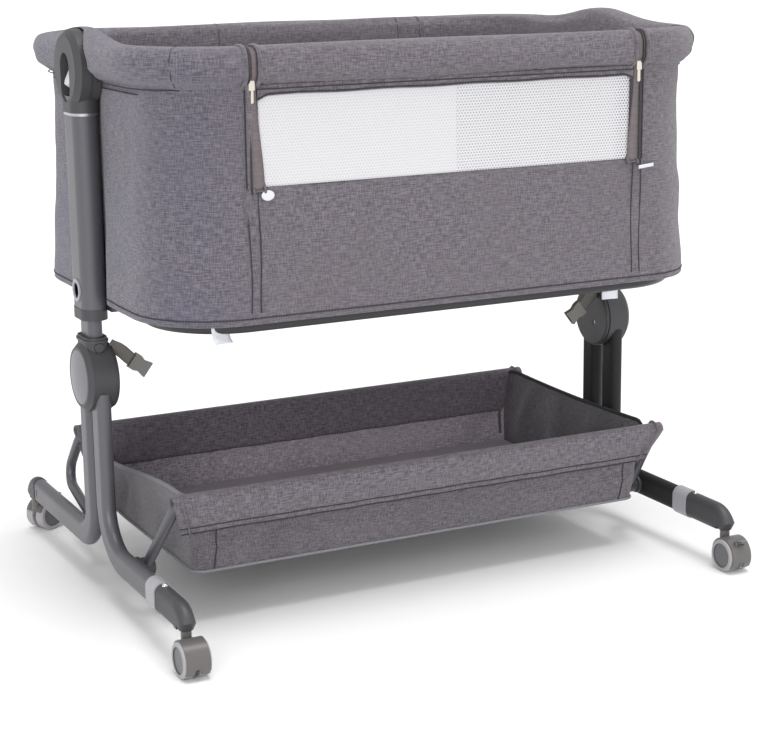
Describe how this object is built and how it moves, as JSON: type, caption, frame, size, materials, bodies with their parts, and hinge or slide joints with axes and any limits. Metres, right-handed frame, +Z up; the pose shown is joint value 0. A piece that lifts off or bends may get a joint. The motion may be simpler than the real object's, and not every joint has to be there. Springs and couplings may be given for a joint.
{
  "type": "bedside sleeper crib",
  "caption": "Bedside sleeper crib: fabric bassinet with a drop-down mesh side on telescopic posts, over a wheeled tube base with a fabric storage basket.",
  "frame": {"origin": "on the floor, at the middle of the overall box, midway between the two posts", "axes": "+X along the crib from the left post to the right post as seen from the bed side, -Y toward the bed side with the drop-down mesh panel, +Z up"},
  "size_m": [0.942, 0.7914, 0.8415],
  "materials": {
    "tube_grey": "smooth grey powder coat",
    "tube_dark": "dark grey powder coat",
    "dark_plastic": "fine matt texture",
    "light_plastic": "smooth satin",
    "chrome": "polished",
    "steel": "plain",
    "linen": "melange blue-grey weave",
    "mattress_white": "soft white cover",
    "board": "stiff sheet",
    "webbing": "woven band",
    "caster_hood": "satin grey-brown",
    "caster_wheel": "grey disc with a light tread",
    "zip_metal": "cream nickel"
  },
  "bodies": {
    "base": {"left_front_foot_tube": "tube_grey", "left_rear_foot_tube": "tube_grey", "right_front_foot_tube": "tube_grey", "right_rear_foot_tube": "tube_grey", "left_hub_housing": "dark_plastic", "right_hub_housing": "dark_plastic", "left_inner_post": "tube_grey", "right_inner_post": "tube_grey", "hub_inner_covers": "dark_plastic", "hub_caps": "light_plastic", "foot_collars": "light_plastic", "rear_foot_ends": "dark_plastic", "frame_screws": "steel", "basket_brackets": "dark_plastic", "bed_straps": "webbing", "strap_buckles": "dark_plastic", "front_basket_tube": "tube_dark", "rear_basket_tube": "tube_dark", "storage_basket": "linen", "basket_board": "board"},
    "bassinet": {"left_outer_post": "tube_grey", "right_outer_post": "tube_grey", "left_top_hub": "dark_plastic", "right_top_hub": "dark_plastic", "post_bushes": "dark_plastic", "window_bezels": "light_plastic", "post_rings": "chrome", "hub_rivets": "chrome", "frame_sockets": "dark_plastic", "upper_frame_tubes": "tube_dark", "lower_frame_tubes": "tube_dark", "bassinet_fabric": "linen", "mattress_board": "board", "mattress": "mattress_white", "front_struts": "tube_dark"},
    "drop_side": {"drop_rail": "tube_dark", "drop_panel": "linen"},
    "left_foot_extension": {"left_front_foot_end": "dark_plastic"},
    "left_snap_pin": {"left_snap_pin": "chrome"},
    "left_lift_lever": {"left_lift_lever": "light_plastic"},
    "left_zip_slider": {"left_zip_slider": "zip_metal"},
    "left_front_neck_button": {"left_front_neck_button": "dark_plastic"},
    "left_rear_neck_button": {"left_rear_neck_button": "dark_plastic"},
    "right_foot_extension": {"right_front_foot_end": "dark_plastic"},
    "right_snap_pin": {"right_snap_pin": "chrome"},
    "right_lift_lever": {"right_lift_lever": "light_plastic"},
    "right_zip_slider": {"right_zip_slider": "zip_metal"},
    "right_front_neck_button": {"right_front_neck_button": "dark_plastic"},
    "right_rear_neck_button": {"right_rear_neck_button": "dark_plastic"},
    "front_left_caster": {"front_left_caster_housing": "caster_hood"},
    "front_left_wheels": {"front_left_caster_wheels": "caster_wheel"},
    "front_right_caster": {"front_right_caster_housing": "caster_hood"},
    "front_right_wheels": {"front_right_caster_wheels": "caster_wheel"},
    "front_right_brake": {"front_right_caster_brake": "caster_hood"},
    "rear_left_caster": {"rear_left_caster_housing": "caster_hood"},
    "rear_left_wheels": {"rear_left_caster_wheels": "caster_wheel"},
    "rear_left_brake": {"rear_left_caster_brake": "caster_hood"},
    "rear_right_caster": {"rear_right_caster_housing": "caster_hood"},
    "rear_right_wheels": {"rear_right_caster_wheels": "caster_wheel"}
  },
  "joints": [
    {"name": "height_slide", "type": "slide", "parent": "base", "child": "bassinet", "axis": [0, 0, 1], "range_m": [0, 0.15]},
    {"name": "drop_side_fold", "type": "hinge", "parent": "bassinet", "child": "drop_side", "pos_m": [0, -0.294, 0.632], "axis": [1, 0, 0], "range_deg": [0, 165]},
    {"name": "left_foot_extend", "type": "slide", "parent": "base", "child": "left_foot_extension", "axis": [0, -1, 0], "range_m": [0, 0.1]},
    {"name": "left_snap_pin_press", "type": "slide", "parent": "left_foot_extension", "child": "left_snap_pin", "axis": [0, 0, -1], "range_m": [0, 0.003], "stiffness_N_per_m": 400, "springref_m": -0.002},
    {"name": "left_lift_lever_pull", "type": "slide", "parent": "bassinet", "child": "left_lift_lever", "axis": [0, 0, 1], "range_m": [0, 0.008], "stiffness_N_per_m": 300, "springref_m": -0.004},
    {"name": "left_zip_slide", "type": "slide", "parent": "bassinet", "child": "left_zip_slider", "axis": [0, 0, -1], "range_m": [0, 0.108]},
    {"name": "left_front_neck_button_press", "type": "slide", "parent": "base", "child": "left_front_neck_button", "axis": [0, 1, 0], "range_m": [0, 0.003], "stiffness_N_per_m": 400, "springref_m": -0.002},
    {"name": "left_rear_neck_button_press", "type": "slide", "parent": "base", "child": "left_rear_neck_button", "axis": [0, -1, 0], "range_m": [0, 0.003], "stiffness_N_per_m": 400, "springref_m": -0.002},
    {"name": "right_foot_extend", "type": "slide", "parent": "base", "child": "right_foot_extension", "axis": [0, -1, 0], "range_m": [0, 0.1]},
    {"name": "right_snap_pin_press", "type": "slide", "parent": "right_foot_extension", "child": "right_snap_pin", "axis": [0, 0, -1], "range_m": [0, 0.003], "stiffness_N_per_m": 400, "springref_m": -0.002},
    {"name": "right_lift_lever_pull", "type": "slide", "parent": "bassinet", "child": "right_lift_lever", "axis": [0, 0, 1], "range_m": [0, 0.008], "stiffness_N_per_m": 300, "springref_m": -0.004},
    {"name": "right_zip_slide", "type": "slide", "parent": "bassinet", "child": "right_zip_slider", "axis": [0, 0, -1], "range_m": [0, 0.108]},
    {"name": "right_front_neck_button_press", "type": "slide", "parent": "base", "child": "right_front_neck_button", "axis": [0, 1, 0], "range_m": [0, 0.003], "stiffness_N_per_m": 400, "springref_m": -0.002},
    {"name": "right_rear_neck_button_press", "type": "slide", "parent": "base", "child": "right_rear_neck_button", "axis": [0, -1, 0], "range_m": [0, 0.003], "stiffness_N_per_m": 400, "springref_m": -0.002},
    {"name": "front_left_caster_swivel", "type": "hinge", "parent": "left_foot_extension", "child": "front_left_caster", "pos_m": [-0.443, -0.348, 0.05], "axis": [0, 0, 1], "continuous": true},
    {"name": "front_left_wheels_roll", "type": "hinge", "parent": "front_left_caster", "child": "front_left_wheels", "pos_m": [-0.443, -0.366, 0.025], "axis": [1, 0, 0], "continuous": true},
    {"name": "front_right_caster_swivel", "type": "hinge", "parent": "right_foot_extension", "child": "front_right_caster", "pos_m": [0.443, -0.348, 0.05], "axis": [0, 0, 1], "continuous": true},
    {"name": "front_right_wheels_roll", "type": "hinge", "parent": "front_right_caster", "child": "front_right_wheels", "pos_m": [0.443, -0.366, 0.025], "axis": [1, 0, 0], "continuous": true},
    {"name": "front_right_brake_press", "type": "hinge", "parent": "front_right_caster", "child": "front_right_brake", "pos_m": [0.443, -0.385, 0.0485], "axis": [1, 0, 0], "range_deg": [0, 20]},
    {"name": "rear_left_caster_swivel", "type": "hinge", "parent": "base", "child": "rear_left_caster", "pos_m": [-0.443, 0.348, 0.05], "axis": [0, 0, 1], "continuous": true},
    {"name": "rear_left_wheels_roll", "type": "hinge", "parent": "rear_left_caster", "child": "rear_left_wheels", "pos_m": [-0.42669, 0.35561, 0.025], "axis": [-0.4226, 0.9063, 0], "continuous": true},
    {"name": "rear_left_brake_press", "type": "hinge", "parent": "rear_left_caster", "child": "rear_left_brake", "pos_m": [-0.40947, 0.36364, 0.0485], "axis": [-0.4226, 0.9063, 0], "range_deg": [0, 20]},
    {"name": "rear_right_caster_swivel", "type": "hinge", "parent": "base", "child": "rear_right_caster", "pos_m": [0.443, 0.348, 0.05], "axis": [0, 0, 1], "continuous": true},
    {"name": "rear_right_wheels_roll", "type": "hinge", "parent": "rear_right_caster", "child": "rear_right_wheels", "pos_m": [0.443, 0.366, 0.025], "axis": [-1, 0, 0], "continuous": true}
  ]
}
